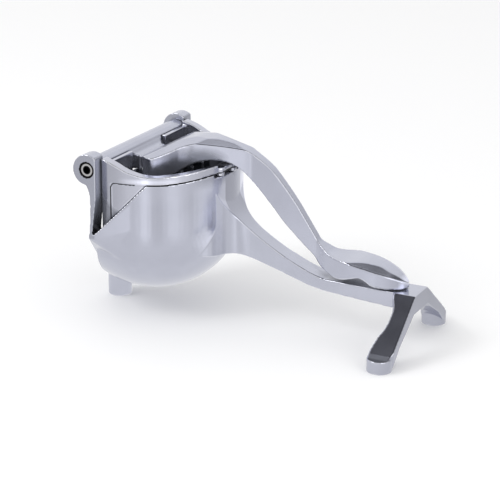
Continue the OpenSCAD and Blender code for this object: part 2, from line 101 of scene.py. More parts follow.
# %% [markdown]
# ## The studio
#
# Bare metal has almost no colour of its own. What the eye reads as metal is the room it mirrors, so the room
# comes first. Here it is a pale studio with tall soft panels standing round the table, and a dark ceiling.
# The bowl's round wall mirrors the panels as upright streaks. Faces that lean back a little mirror the
# ceiling, which is why the stand's sloping leg and the sloping side of the grip look nearly black, while the
# flat tops and the upright sides stay pale. The camera itself sees only white.
#
# The world, the floor and the metals are all built from shader nodes, so a few helpers come first. An input
# of a node is either a number or colour to set, or another node's output to join.

# %% Helpers: make a node and fill its inputs
def set_inputs(tree, node, inputs):
    for name, value in inputs.items():
        if isinstance(value, bpy.types.NodeSocket):
            tree.links.new(value, node.inputs[name])
        else:
            node.inputs[name].default_value = value


def new_node(tree, kind, inputs=None, **settings):
    node = tree.nodes.new(kind)
    for name, value in settings.items():
        setattr(node, name, value)
    set_inputs(tree, node, inputs or {})
    return node


def grey(tone):
    return (tone, tone, tone, 1)


print("a node's inputs are named or numbered, and grey(0.5) is", grey(0.5))

# %% Helpers: a colour ramp, a mix, some maths and a change of range
def ramp(tree, stops, value):
    node = new_node(tree, "ShaderNodeValToRGB", {"Fac": value})
    elements = node.color_ramp.elements
    while len(elements) < len(stops):
        elements.new(0.5)
    for element, (place, tone) in zip(elements, stops):
        element.position = place
        element.color = (*tone, 1) if isinstance(tone, tuple) else grey(tone)
    return node.outputs["Color"]


def mix(tree, share, first, second, kind="RGBA"):
    inputs = {"Factor": share, "A": first, "B": second}
    return new_node(tree, "ShaderNodeMix", inputs, data_type=kind).outputs["Result"]


def maths(tree, operation, first, second):
    return new_node(tree, "ShaderNodeMath", {0: first, 1: second}, operation=operation).outputs[0]


def change_range(tree, value, given, made=(0.0, 1.0), **settings):
    limits = dict(zip(("From Min", "From Max", "To Min", "To Max"), (*given, *made)))
    return new_node(tree, "ShaderNodeMapRange", {"Value": value, **limits}, **settings).outputs["Result"]


print("each of the four gives back its result, ready to be joined")

# %% Helper: a node group with named sockets
def new_group(name, inputs, outputs):
    group = bpy.data.node_groups.new(name, "ShaderNodeTree")
    for label, kind, value in inputs:
        socket = group.interface.new_socket(label, in_out="INPUT", socket_type=kind)
        socket.default_value = value
    for label, kind in outputs:
        group.interface.new_socket(label, in_out="OUTPUT", socket_type=kind)
    print("group", name, "puts out", [label for label, _ in outputs])
    return group, new_node(group, "NodeGroupInput"), new_node(group, "NodeGroupOutput")


# %% [markdown]
# The panels are a ramp round the table: each stop is a compass angle, seen from the press, and how bright the
# studio is there. Looking up, the walls end in the dark ceiling. Looking steeply down, the table takes over
# and the panels fade. One black panel stands to the right, just under the ceiling, and narrow steep bevels
# mirror it as a dark line. The world and the floor both place this one group, because an upright wall that
# is seen from above mirrors the table and not the room, and the two have to agree where they meet.

# %% Group: studio room
# Degrees round the table, anticlockwise from +X, and how bright the studio is there
PANELS = {
    -180: 0.82, -140: 0.70, -119: 0.72, -111: 0.75, -103: 0.83, -96: 0.94, -89: 0.95, -81: 1.02,
    -73.7: 1.44, -66.6: 0.90, -60: 0.83, -52: 0.97, -45: 1.18, -38: 1.17, -31: 1.03, -24: 0.96,
    -16: 0.87, -7: 0.82, 3: 0.77, 11: 0.76, 19: 0.70, 32: 0.66, 55: 0.68, 72: 0.92, 90: 1.03,
    130: 1.03, 180: 0.82,
}
TABLE_TONE = 0.98
CEILING_TONE = 0.062
CEILING_BLUER = 1.1
CEILING = (CEILING_TONE, CEILING_TONE, CEILING_TONE * CEILING_BLUER, 1)
# Heights run from 0, straight down, over 0.5, level, to 1, straight up
TABLE_FADES = ((0.22, 1.0), (0.33, 0.0))
CEILING_STARTS = ((0.925, 0.0), (0.945, 1.0))
BLACK_PANEL_RISES = ((0.64, 0.0), (0.66, 1.0), (0.92, 1.0), (0.93, 0.0))
BLACK_PANEL_TURNS = ((20, 0.0), (23, 1.0), (42, 1.0), (46, 0.0))
# The ceiling ends along a straight line on the far side, given by the direction's Y
CEILING_ENDS = ((0.255, 1.0), (0.280, 0.0))


def round_the_table(stops):
    return [((degrees + 180) / 360, tone) for degrees, tone in stops]


def studio_room_group():
    group, given, made = new_group(
        "studio_room", [("Direction", "NodeSocketVector", (0.0, 0.0, 1.0))], [("Colour", "NodeSocketColor")])
    unit = new_node(group, "ShaderNodeVectorMath", {0: given.outputs["Direction"]}, operation="NORMALIZE")
    split = new_node(group, "ShaderNodeSeparateXYZ", {0: unit.outputs["Vector"]})
    angle = maths(group, "ARCTAN2", split.outputs["Y"], split.outputs["X"])
    turn = change_range(group, angle, (-math.pi, math.pi))
    height = change_range(group, split.outputs["Z"], (-1.0, 1.0))
    panels = ramp(group, round_the_table(PANELS.items()), turn)
    walls = mix(group, ramp(group, TABLE_FADES, height), panels, grey(TABLE_TONE))
    high_up = ramp(group, CEILING_STARTS, height)
    this_side = ramp(group, CEILING_ENDS, split.outputs["Y"])
    ceiling = maths(group, "MULTIPLY", high_up, this_side)
    beside = ramp(group, round_the_table(BLACK_PANEL_TURNS), turn)
    black_panel = maths(group, "MULTIPLY", beside, ramp(group, BLACK_PANEL_RISES, height))
    dark = maths(group, "MAXIMUM", ceiling, black_panel)
    set_inputs(group, made, {"Colour": mix(group, dark, walls, CEILING)})
    return group


STUDIO_ROOM = studio_room_group()
print("studio room with", len(PANELS), "stops round the table")

# %% [markdown]
# The world answers three kinds of ray in three ways. A ray that a glossy surface sends out meets the studio
# room, so the metal has something to mirror. A ray that only gathers light meets an even pale grey. A ray
# from the camera meets plain white, so the picture keeps a clean background.

# %% Build the studio's world
EVEN_LIGHT = 0.92


def build_world():
    world = bpy.data.worlds.new("studio")
    bpy.context.scene.world = world
    world.use_nodes = True
    tree = world.node_tree
    tree.nodes.clear()
    place = new_node(tree, "ShaderNodeTexCoord")
    room = new_node(tree, "ShaderNodeGroup", {"Direction": place.outputs["Generated"]}, node_tree=STUDIO_ROOM)
    mirrored = new_node(tree, "ShaderNodeBackground", {"Color": room.outputs["Colour"]})
    lighting = new_node(tree, "ShaderNodeBackground", {"Color": grey(EVEN_LIGHT)})
    backdrop = new_node(tree, "ShaderNodeBackground", {"Color": grey(1)})
    path = new_node(tree, "ShaderNodeLightPath")
    by_gloss = new_node(tree, "ShaderNodeMixShader", {
        0: path.outputs["Is Glossy Ray"], 1: lighting.outputs[0], 2: mirrored.outputs[0]})
    seen = maths(tree, "MAXIMUM", path.outputs["Is Camera Ray"], path.outputs["Is Transmission Ray"])
    by_sight = new_node(tree, "ShaderNodeMixShader", {
        0: seen, 1: by_gloss.outputs[0], 2: backdrop.outputs[0]})
    new_node(tree, "ShaderNodeOutputWorld", {"Surface": by_sight.outputs[0]})
    print("world built: even light", EVEN_LIGHT, "and ceiling tone", CEILING_TONE)


build_world()
bpy.context.scene.view_settings.view_transform = "Standard"

# %% [markdown]
# ## Floor and lamps
#
# The floor is a plain white sheet. Its colour is just under white, so that the soft shadow under the press
# still shows. In the metal it shows the studio's panels instead, as a glossy table top would. Two large, weak
# lamps give the light a direction: one high on the left, one low on the right.

# %% Floor
FLOOR_HALF = 3.0
FLOOR_ROUGHNESS = 0.9
MOTTLE = {"Scale": 6.0, "Detail": 3.0}
MOTTLE_TONES = ((0.3, (0.955, 0.955, 0.96)), (0.7, (0.965, 0.965, 0.97)))
BOWL_X = -74.1 * MM
ROOM_CENTRE = (BOWL_X, 0.0, 70 * MM)


def new_material(name):
    material = bpy.data.materials.new(name)
    material.use_nodes = True
    tree = material.node_tree
    return material, tree, tree.nodes["Principled BSDF"]


def white_floor():
    material, tree, sheet = new_material("white_floor")
    noise = new_node(tree, "ShaderNodeTexNoise", MOTTLE)
    set_inputs(tree, sheet, {
        "Base Color": ramp(tree, MOTTLE_TONES, noise.outputs["Fac"]), "Roughness": FLOOR_ROUGHNESS})
    place = new_node(tree, "ShaderNodeTexCoord")
    away = new_node(tree, "ShaderNodeVectorMath", {0: place.outputs["Object"], 1: ROOM_CENTRE},
                    operation="SUBTRACT")
    room = new_node(tree, "ShaderNodeGroup", {"Direction": away.outputs["Vector"]}, node_tree=STUDIO_ROOM)
    mirrored = new_node(tree, "ShaderNodeEmission", {"Color": room.outputs["Colour"]})
    path = new_node(tree, "ShaderNodeLightPath")
    either = new_node(tree, "ShaderNodeMixShader", {
        0: path.outputs["Is Glossy Ray"], 1: sheet.outputs[0], 2: mirrored.outputs[0]})
    set_inputs(tree, tree.nodes["Material Output"], {"Surface": either.outputs[0]})
    return material


def build_floor():
    mesh = bpy.data.meshes.new("floor")
    corners = [(x * FLOOR_HALF, y * FLOOR_HALF, 0) for x, y in ((-1, -1), (1, -1), (1, 1), (-1, 1))]
    mesh.from_pydata(corners, [], [(0, 1, 2, 3)])
    floor = bpy.data.objects.new("floor", mesh)
    bpy.context.scene.collection.objects.link(floor)
    mesh.materials.append(white_floor())


build_floor()
print("floor", 2 * FLOOR_HALF, "m wide")

# %% Lamps
LAMPS = {
    # name: place, size, watts
    "key_lamp": ((-0.9, -0.9, 1.1), 0.7, 7.0),
    "fill_lamp": ((1.3, -0.7, 0.5), 0.9, 3.0),
}


def add_lamps():
    for name, (place, size, watts) in LAMPS.items():
        data = bpy.data.lights.new(name, "AREA")
        data.size = size
        data.energy = watts
        lamp = bpy.data.objects.new(name, data)
        lamp.location = place
        lamp.rotation_euler = (AIM - Vector(place)).to_track_quat("-Z", "Y").to_euler()
        bpy.context.scene.collection.objects.link(lamp)
        print(name, "at", place)


add_lamps()

# %% [markdown]
# ## Effects that every casting shares
#
# A casting is blasted with fine beads, which leaves a satin skin with a very fine grain. Handling and the
# polishing belt then brighten its proud edges. These effects are node groups, built once and placed in each
# material with its own values. The first is the skin: a fine noise for the grain, and a broad one for the
# slow blotches that any cast surface has.

# %% Group: blasted skin
GRAIN_NOISE = {"Detail": 2.0, "Roughness": 0.6}
BLOTCH_NOISE = {"Detail": 4.0, "Roughness": 0.55}


def blasted_skin_group():
    group, given, made = new_group(
        "blasted_skin",
        [("Grain Scale", "NodeSocketFloat", 2600.0), ("Blotch Scale", "NodeSocketFloat", 55.0)],
        [("Grain", "NodeSocketFloat"), ("Blotch", "NodeSocketFloat")],
    )
    place = new_node(group, "ShaderNodeTexCoord")
    for effect, noise in (("Grain", GRAIN_NOISE), ("Blotch", BLOTCH_NOISE)):
        inputs = {"Vector": place.outputs["Object"], "Scale": given.outputs[effect + " Scale"], **noise}
        set_inputs(group, made, {effect: new_node(group, "ShaderNodeTexNoise", inputs).outputs["Fac"]})
    return group


BLASTED_SKIN = blasted_skin_group()

# %% [markdown]
# The second effect is the polish on proud edges. It reads a mask that is measured on the mesh further down,
# and turns it into a share of polish with a soft start, so that the polish fades into the satin.

# %% Group: polished edge
def polished_edge_group():
    group, given, made = new_group(
        "polished_edge",
        [("Mask", "NodeSocketFloat", 0.0), ("Start", "NodeSocketFloat", 0.35),
         ("Full", "NodeSocketFloat", 0.75)],
        [("Polish", "NodeSocketFloat")],
    )
    polish = change_range(group, given.outputs["Mask"], (given.outputs["Start"], given.outputs["Full"]),
                          interpolation_type="SMOOTHSTEP")
    set_inputs(group, made, {"Polish": polish})
    return group


POLISHED_EDGE = polished_edge_group()

# %% [markdown]
# The third effect is painted light and shade. A mask called openness says how much free space a place has in
# front of it, from 0 to 1. Light says how far the metal's own colour has taken over from the dark raw skin
# that stands in for shade in a recess. A place given extra painted shade has an openness under 0, and one
# given a
# painted highlight has one over 1: a second output turns these into a factor for the colour.

# %% Group: painted light and shade
# Openness values of full painted shade and of full painted light, and the colour factor that each gives
FULL_PAINTED_SHADE = -0.5
FULL_PAINTED_SHADE_FACTOR = 0.04
FULL_PAINTED_LIGHT = 2.0
FULL_PAINTED_LIGHT_FACTOR = 1.7


def painted_light_and_shade_group():
    group, given, made = new_group(
        "painted_light_and_shade",
        [("Openness", "NodeSocketFloat", 1.0), ("Closed", "NodeSocketFloat", -0.06),
         ("Open", "NodeSocketFloat", 0.62)],
        [("Light", "NodeSocketFloat"), ("Depth", "NodeSocketFloat")],
    )
    openness = given.outputs["Openness"]
    light = change_range(group, openness, (given.outputs["Closed"], given.outputs["Open"]))
    darker = change_range(group, openness, (FULL_PAINTED_SHADE, 0.0), (FULL_PAINTED_SHADE_FACTOR, 1.0))
    brighter = change_range(group, openness, (1.0, FULL_PAINTED_LIGHT), (1.0, FULL_PAINTED_LIGHT_FACTOR))
    set_inputs(group, made, {"Light": light, "Depth": maths(group, "MULTIPLY", darker, brighter)})
    return group


PAINTED_LIGHT_AND_SHADE = painted_light_and_shade_group()

# %% [markdown]
# ## Cast aluminium
#
# The same metal serves all three castings, each with its own tint and finish. The base colour is a slightly
# blue grey, which is what the studio's white comes back as. The blotches shift the tint and the roughness,
# and the grain is a very shallow bump. The edge mask makes the edges smoother and a little brighter. Where
# the polishing belt can't reach, such as down in the cup and the gutter, the raw cast skin stays dull and a
# little less metallic, and its dark colour there is painted shade, laid on where little space is free.

# %% Cast aluminium material
# Raw skin and painted shade: the dark colour that places with little free space turn to
RAW_SKIN_AND_SHADE = (0.21, 0.22, 0.26, 1)
RAW_METALLIC = 0.55
BLOTCH_SHADES = ((0.3, 0.96), (0.7, 1.03))  # place on the noise, share of the tint
BLOTCH_ROUGHNESS = (-0.03, 0.05)
GRAIN_DEPTH = 0.03 * MM
GRAIN_STRENGTH = 0.35


def metal_colour(tree, tint, edge_tint, skin, polish, recess):
    shades = [(place, tuple(part * share for part in tint)) for place, share in BLOTCH_SHADES]
    satin_colour = ramp(tree, shades, skin.outputs["Blotch"])
    unshaded_colour = mix(tree, polish, satin_colour, (*edge_tint, 1))
    # Painted shade: the colour turns to the dark skin where little space is free, then painted light and
    # shade scale it
    shaded_colour = mix(tree, recess.outputs["Light"], RAW_SKIN_AND_SHADE, unshaded_colour)
    inputs = {0: shaded_colour, "Scale": recess.outputs["Depth"]}
    return new_node(tree, "ShaderNodeVectorMath", inputs, operation="SCALE").outputs["Vector"]


def cast_aluminium(name, tint, edge_tint, satin, polished, unshaded_from):
    material, tree, metal = new_material(name)
    skin = new_node(tree, "ShaderNodeGroup", node_tree=BLASTED_SKIN)
    bend = new_node(tree, "ShaderNodeAttribute", attribute_name="edge")
    edge = new_node(tree, "ShaderNodeGroup", {"Mask": bend.outputs["Fac"]}, node_tree=POLISHED_EDGE)
    polish = edge.outputs["Polish"]
    openness = new_node(tree, "ShaderNodeAttribute", attribute_name="openness")
    recess = new_node(tree, "ShaderNodeGroup", {"Openness": openness.outputs["Fac"], "Open": unshaded_from},
                      node_tree=PAINTED_LIGHT_AND_SHADE)
    uneven = [satin + change for change in BLOTCH_ROUGHNESS]
    roughness = change_range(tree, skin.outputs["Blotch"], (0.0, 1.0), uneven)
    grain = new_node(tree, "ShaderNodeBump", {
        "Strength": GRAIN_STRENGTH, "Distance": GRAIN_DEPTH, "Height": skin.outputs["Grain"]})
    set_inputs(tree, metal, {
        "Base Color": metal_colour(tree, tint, edge_tint, skin, polish, recess),
        "Metallic": change_range(tree, recess.outputs["Light"], (0.0, 1.0), (RAW_METALLIC, 1.0)),
        "Roughness": mix(tree, polish, roughness, polished, "FLOAT"),
        "Normal": grain.outputs["Normal"],
    })
    return material


# The tints of the satin and of the edges, their two roughnesses, and the openness where painted shade ends
FINISHES = {
    "body_casting": ((0.50, 0.513, 0.595), (0.66, 0.67, 0.74), 0.20, 0.12, 0.60),
    "cup_casting": ((0.54, 0.55, 0.63), (0.72, 0.73, 0.79), 0.15, 0.08, 0.60),
    "lever_casting": ((0.50, 0.513, 0.60), (0.66, 0.67, 0.74), 0.22, 0.13, 0.62),
}
METALS = {name: cast_aluminium(name, *finish) for name, finish in FINISHES.items()}
print("materials:", *METALS)

# %% [markdown]
# ## Soft cast edges
#
# A mould can't give a knife edge: every corner of a casting is a small round, and every inner corner a
# fillet. The frame's solids have sharp corners, so each casting is rebuilt as a close, even mesh with the
# Remesh modifier.

# %% Rebuild a casting as an even mesh
def remeshed_copy(node, name, voxel):
    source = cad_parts[node]
    piece = bpy.data.objects.new(name, source.data.copy())
    bpy.context.scene.collection.objects.link(piece)
    remesh = piece.modifiers.new("even_mesh", "REMESH")
    remesh.mode = "VOXEL"
    remesh.voxel_size = voxel
    graph = bpy.context.evaluated_depsgraph_get()
    mesh = bpy.data.meshes.new_from_object(piece.evaluated_get(graph))
    piece.modifiers.clear()
    piece.data = mesh
    return piece


VOXEL = 0.5 * MM
print("distance between the points of a casting:", VOXEL / MM, "mm")

# %% [markdown]
# The masks and the rounding all need to know each point's place, its normal, and the mean of its neighbours.
# These readers give them as arrays of numbers, which is far quicker than a loop over that many points.

# %% Read a mesh as arrays
def vectors_of(mesh, what):
    flat = np.empty(len(mesh.vertices) * 3)
    mesh.vertices.foreach_get(what, flat)
    return flat.reshape(-1, 3)


def points_of(mesh):
    return vectors_of(mesh, "co")


def normals_of(mesh):
    return vectors_of(mesh, "normal")


def neighbours_of(mesh):
    ends = np.empty(len(mesh.edges) * 2, dtype=np.int64)
    mesh.edges.foreach_get("vertices", ends)
    counts = np.maximum(np.bincount(ends, minlength=len(mesh.vertices)), 1)
    return ends.reshape(-1, 2), counts


def neighbour_mean(values, neighbours):
    ends, counts = neighbours
    total = np.zeros_like(values)
    for column in range(values.shape[1]):
        total[:, column] = (
            np.bincount(ends[:, 0], values[ends[:, 1], column], len(values))
            + np.bincount(ends[:, 1], values[ends[:, 0], column], len(values))
        )
    return total / counts[:, None]


print("mesh readers ready")

# %% [markdown]
# Relaxing moves each point towards the mean of its neighbours. Done plainly it would shrink the casting, so
# each pull inwards is followed by a slightly larger push outwards, which rounds the corners and leaves the
# broad faces where they are. A last step keeps every point inside the box of the solid it came from.

# %% Round the corners
PULL = 0.55
PUSH = -0.57
ROUNDS = 12


def set_points(mesh, points):
    mesh.vertices.foreach_set("co", points.ravel())
    mesh.update()


def relax(mesh):
    points = points_of(mesh)
    neighbours = neighbours_of(mesh)
    for _ in range(ROUNDS):
        for step in (PULL, PUSH):
            points += step * (neighbour_mean(points, neighbours) - points)
    set_points(mesh, points)


def keep_inside(mesh, low, high):
    set_points(mesh, np.clip(points_of(mesh), low, high))


print("relaxing: pull", PULL, "push", PUSH, "rounds", ROUNDS)

# %% [markdown]
# ## Two masks measured on the mesh
#
# The edge mask says how sharply the surface bends outwards at each point. It compares each point with the
# mean of its neighbours, along the normal: a proud edge stands out from that mean, and a hollow lies under
# it. It is stored on the mesh, where the materials can read it.

# %% Measure the edges
FULL_BEND = 0.06 * MM
EDGE_SPREAD = 3


def store_mask(mesh, name, values):
    layer = mesh.attributes.new(name, "FLOAT", "POINT")
    layer.data.foreach_set("value", values.astype(np.float32))


def mark_edges(mesh):
    points = points_of(mesh)
    neighbours = neighbours_of(mesh)
    bend = ((points - neighbour_mean(points, neighbours)) * normals_of(mesh)).sum(axis=1, keepdims=True)
    for _ in range(EDGE_SPREAD):
        bend = neighbour_mean(bend, neighbours)
    mask = np.clip(bend[:, 0] / FULL_BEND, 0, 1)
    store_mask(mesh, "edge", mask)
    return float(mask.mean())


print("the mask is full where a point stands", FULL_BEND / MM, "mm proud")

# %% [markdown]
# The second mask says how open each place is. From a small patch of surface, a fan of rays looks for other
# metal near by: out in the open none is hit, down in the gutter nearly all are. The press is taken with its
# lever down.

# %% Rays that look for near metal
REACH = 90 * MM
RAY_START_MM = 0.7
RAY_RINGS = ((0.25, 3), (0.60, 5), (0.85, 6))  # sine of the ring's lean from the normal, number of rays
RING_TWIST = 0.5
RAY_COUNT = sum(count for _, count in RAY_RINGS)


def metal_tree():
    corners, faces = [], []
    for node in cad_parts.values():
        mesh = node.data
        start = len(corners)
        corners.extend(tuple(v.co) for v in mesh.vertices)
        faces.extend(tuple(start + i for i in face.vertices) for face in mesh.polygons)
    return BVHTree.FromPolygons(corners, faces)


def ray_fan(normal):
    side = normal.orthogonal().normalized()
    across = normal.cross(side)
    for sine, count in RAY_RINGS:
        cosine = math.sqrt(1 - sine * sine)
        for k in range(count):
            turn = 2 * math.pi * (k + RING_TWIST * sine) / count
            yield (side * math.cos(turn) + across * math.sin(turn)) * sine + normal * cosine


def free_share(place, outward):
    normal = outward.normalized()
    start = place + normal * RAY_START_MM * MM
    return sum(METAL.ray_cast(start, ray, REACH)[0] is None for ray in ray_fan(normal)) / RAY_COUNT


METAL = metal_tree()
print("rays per patch:", RAY_COUNT, "- each looks", round(REACH / MM), "mm far")

# %% [markdown]
# A ray fan at every point would take minutes. One fan in each little cell of space is enough, for each of the
# six ways that the surface can face there, and the mask is then smoothed over the mesh.

# %% Mark how open each place is
CELL = 1.6 * MM
OPENNESS_SPREAD = 6


def patches_of(points, normals):
    cells = np.floor(points / CELL).astype(np.int64)
    axis = np.argmax(np.abs(normals), axis=1)
    facing = axis * 2 + (normals[np.arange(len(points)), axis] > 0)
    _, patch = np.unique(np.column_stack((cells, facing)), axis=0, return_inverse=True)
    return patch.ravel()


def mark_openness(mesh):
    points, normals = points_of(mesh), normals_of(mesh)
    patch = patches_of(points, normals)
    count = np.bincount(patch)
    middle = np.column_stack([np.bincount(patch, column) / count for column in points.T])
    outward = np.column_stack([np.bincount(patch, column) / count for column in normals.T])
    free = np.array([free_share(Vector(place), Vector(normal)) for place, normal in zip(middle, outward)])
    value = free[patch][:, None]
    neighbours = neighbours_of(mesh)
    for _ in range(OPENNESS_SPREAD):
        value = neighbour_mean(value, neighbours)
    store_mask(mesh, "openness", value[:, 0])
    return len(count), float(value.mean())


print("cells of", round(CELL / MM, 1), "mm")

# %% [markdown]
# ## The three castings
#
# Each casting goes through the same steps: rebuilt, relaxed, kept inside its solid's box, and measured for
# its two masks. It then rides on its body and replaces its node of the frame.

# %% Make the three castings
def casting(node, name, body):
    piece = remeshed_copy(node, name, VOXEL)
    relax(piece.data)
    keep_inside(piece.data, *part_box(node))
    share = mark_edges(piece.data)
    patches, free = mark_openness(piece.data)
    piece.data.materials.clear()
    piece.data.materials.append(METALS[name])
    piece.data.shade_smooth()
    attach(piece, body)
    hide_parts(node)
    print(f"{name}: {len(piece.data.polygons)} faces, edges {share:.3f}, {patches} patches, open {free:.2f}")
    return piece


body_casting = casting("press_body", "body_casting", "base")
cup_casting = casting("strainer_cup", "cup_casting", "base")
lever_casting = casting("press_lever", "lever_casting", "lever")

# %% [markdown]
# ## Places of painted shade and light
#
# A mask of free space can't know everything that polished metal mirrors. Some places get painted shade or
# painted light, laid on by changing their openness. Painting shade takes a share for each point, where 1
# changes nothing and 0 is black. Painting light takes how far the openness goes over 1. Slope is an even step
# between two places, from 0 at the first to 1 at the second.

# %% Paint shade and light
CLEARLY_DARKER = 0.9


def slope(values, zero_at, one_at):
    return np.clip((values - zero_at) / (one_at - zero_at), 0, 1)


def between(values, low, high):
    return (values > low) & (values < high)


def change_openness(mesh, change):
    layer = mesh.attributes["openness"]
    values = np.empty(len(mesh.vertices), dtype=np.float32)
    layer.data.foreach_get("value", values)
    layer.data.foreach_set("value", change(values).astype(np.float32))


# Painted shade: lowers the openness towards full black
def paint_shade(mesh, share):
    change_openness(mesh, lambda values: values * share + FULL_PAINTED_SHADE * (1 - share))
    return int((share < CLEARLY_DARKER).sum())


# Painted light: raises the openness over 1, which brightens the colour
def paint_light(mesh, lift):
    change_openness(mesh, lambda values: np.where(lift > 0, np.maximum(values, 1.0) + lift, values))
    return int((lift > 0).sum())


print("slope of 3 between 2 and 4:", slope(3, 2, 4))

# %% [markdown]
# A thin painted shadow fills the gap between the bowl's rim and the cup's band. It lies on both castings, and
# its height follows the rim, which rises a little towards the arm.

# %% The painted shadow in the gap under the band
RIM_Z = 94.4 * MM
RIM_RISE = 4 * MM
RISE_X = (-44.1 * MM, -18.1 * MM)
RISE_POWER = 1.5
GAP_SHADOW_X = (-52.0 * MM, -12.5 * MM)
BAND_R = 54.5 * MM  # what lies further from the bowl's axis is on the outside


def is_outside(points):
    return np.hypot(points[:, 0] - BOWL_X, points[:, 1]) > BAND_R


# Painted shadow in the narrow gap between the bowl's rim and the cup's band
def paint_gap_shadow(mesh, below, above):
    points = points_of(mesh)
    x = points[:, 0]
    rise = slope(x, *RISE_X) ** RISE_POWER * RIM_RISE
    over = points[:, 2] - RIM_Z - rise
    in_gap_shadow = between(over, -below, above) & between(x, *GAP_SHADOW_X) & is_outside(points)
    return paint_shade(mesh, np.where(in_gap_shadow, 0.0, 1.0))


print("the rim rises from", RIM_Z / MM, "by", RIM_RISE / MM, "mm")

# %% [markdown]
# On the body, the ring round each screw's head is always in shadow. The straps' inner sides face the cup over
# a narrow gap and mirror it, so they are dark, more so further down.

# %% Shade the body: the screws' counterbores and the straps
SCREW_LOW, SCREW_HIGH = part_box("pivot_screw_near")
AXIS_X = (SCREW_LOW.x + SCREW_HIGH.x) / 2
AXIS_Z = (SCREW_LOW.z + SCREW_HIGH.z) / 2
HEAD_R = (SCREW_HIGH.x - SCREW_LOW.x) / 2
HEAD_ROOM = 1.1 * MM
SIDE_Y = 30 * MM  # the straps and the cup's flat sides lie beyond this


def shade_counterbores(mesh):
    x, _, z = points_of(mesh).T
    return paint_shade(mesh, np.where(np.hypot(x - AXIS_X, z - AXIS_Z) < HEAD_R + HEAD_ROOM, 0.0, 1.0))


STRAP_X = AXIS_X + 16 * MM
STRAP_Z = 58 * MM
STRAP_FACING = 0.5
STRAP_FADE_Z = (62 * MM, 92 * MM)
STRAP_LEAST, STRAP_SHARE = 0.05, 0.6


def shade_straps(mesh):
    x, y, z = points_of(mesh).T
    towards_cup = normals_of(mesh)[:, 0] > STRAP_FACING
    in_gap = (x < STRAP_X) & (z > STRAP_Z) & (np.abs(y) > SIDE_Y)
    share = np.maximum(slope(z, *STRAP_FADE_Z), STRAP_LEAST) * STRAP_SHARE
    return paint_shade(mesh, np.where(towards_cup & in_gap, share, 1.0))


print("points round the screws:", shade_counterbores(body_casting.data))
print("points on the straps:", shade_straps(body_casting.data))
print("points in the seam:", paint_gap_shadow(body_casting.data, below=0.35 * MM, above=0.2 * MM))

# %% [markdown]
# Where the arm leaves the bowl, the metal mirrors the polished arm: a painted reflection, lighter than bare
# skin.
# The upward rim of each foot pad gets a painted dark reflection, as dark as the leg's sloping face above it.

# %% Shade the body: the arm's root and the foot pads
ROOT_X = (-40 * MM, 0)
ROOT_Y = 10 * MM
ROOT_FACING = (0.78, 0.90)
ROOT_FADE_LOW, ROOT_FADE_HIGH = (40 * MM, 55 * MM), (95 * MM, 89 * MM)
ROOT_LIFT = 0.65


# Painted reflection: brightens the metal where the arm leaves the bowl
def lift_arm_root(mesh):
    x, y, z = points_of(mesh).T
    facing_forward = slope(normals_of(mesh)[:, 0], *ROOT_FACING)
    here = between(x, *ROOT_X) & (np.abs(y) > ROOT_Y)
    height = slope(z, *ROOT_FADE_LOW) * slope(z, *ROOT_FADE_HIGH)
    return paint_light(mesh, facing_forward * here * height * ROOT_LIFT)


PAD_X = 50 * MM
PAD_Y = 36 * MM
PAD_Z = (5 * MM, 14 * MM)
PAD_FACING = (0.8, 0.92)
PAD_SHADE = 0.88


# Painted dark reflection on the upward faces of the pads
def shade_pads(mesh):
    x, y, z = points_of(mesh).T
    facing_up = slope(normals_of(mesh)[:, 2], *PAD_FACING)
    on_pad = (x > PAD_X) & (np.abs(y) > PAD_Y) & between(z, *PAD_Z)
    return paint_shade(mesh, 1 - PAD_SHADE * facing_up * on_pad)


print("points at the arm's root:", lift_arm_root(body_casting.data))
print("points on the pads:", shade_pads(body_casting.data))

# %% [markdown]
# On the cup, the lower front corner of each side looks down into the notch of the body and mirrors its dark
# inside, which is painted on as a dark reflection. The band round the rim gets a painted highlight, brightest
# low on its outer face, towards the front.

# %% Shade the cup: over the notch and along the band
# The shade over the notch fades across a line through these two points, given as (x, z)
NOTCH_LINE = ((-89.0 * MM, 90.5 * MM), (-74.0 * MM, 78.5 * MM))
NOTCH_FADE = (-1 * MM, 2.5 * MM)
NOTCH_SHARE = 0.45


def shade_over_notch(mesh):
    (x0, z0), (x1, z1) = NOTCH_LINE
    x, y, z = points_of(mesh).T
    away = ((x - x0) * (z0 - z1) + (z - z0) * (x1 - x0)) / math.hypot(x1 - x0, z1 - z0)
    light = slope(away, *NOTCH_FADE)
    light[np.abs(y) < SIDE_Y] = 1
    return paint_shade(mesh, NOTCH_SHARE + (1 - NOTCH_SHARE) * light)


BAND_LIGHT_X, BAND_LIGHT_Z = -52.0 * MM, 96.7 * MM
BAND_FADE_X = (18.2 * MM, 5.2 * MM)
BAND_FADE_Z = (2.08 * MM, 0.48 * MM)
BAND_HIGHLIGHT = 0.75


# Painted highlight low on the band's outer face
def paint_band_highlight(mesh):
    points = points_of(mesh)
    along = slope(np.abs(points[:, 0] - BAND_LIGHT_X), *BAND_FADE_X)
    low = slope(np.abs(points[:, 2] - BAND_LIGHT_Z), *BAND_FADE_Z)
    return paint_light(mesh, low * along * is_outside(points) * BAND_HIGHLIGHT)


print("points over the notch:", shade_over_notch(cup_casting.data))
print("points on the band:", paint_band_highlight(cup_casting.data))

# %% [markdown]
# A fine line of painted shade runs along the step round the set-back panel on each side of the cup: down its
# front, round one corner and along its top. Each point is darkened when it lies close enough to that outline.

# %% Paint shade along the panel's step and in the cup's gap
PANEL_X, PANEL_TOP, PANEL_LENGTH = -75.0 * MM, 94.5 * MM, 16 * MM
PANEL_CORNER = 3 * MM
PANEL_SHADE_WIDTH = 0.4 * MM


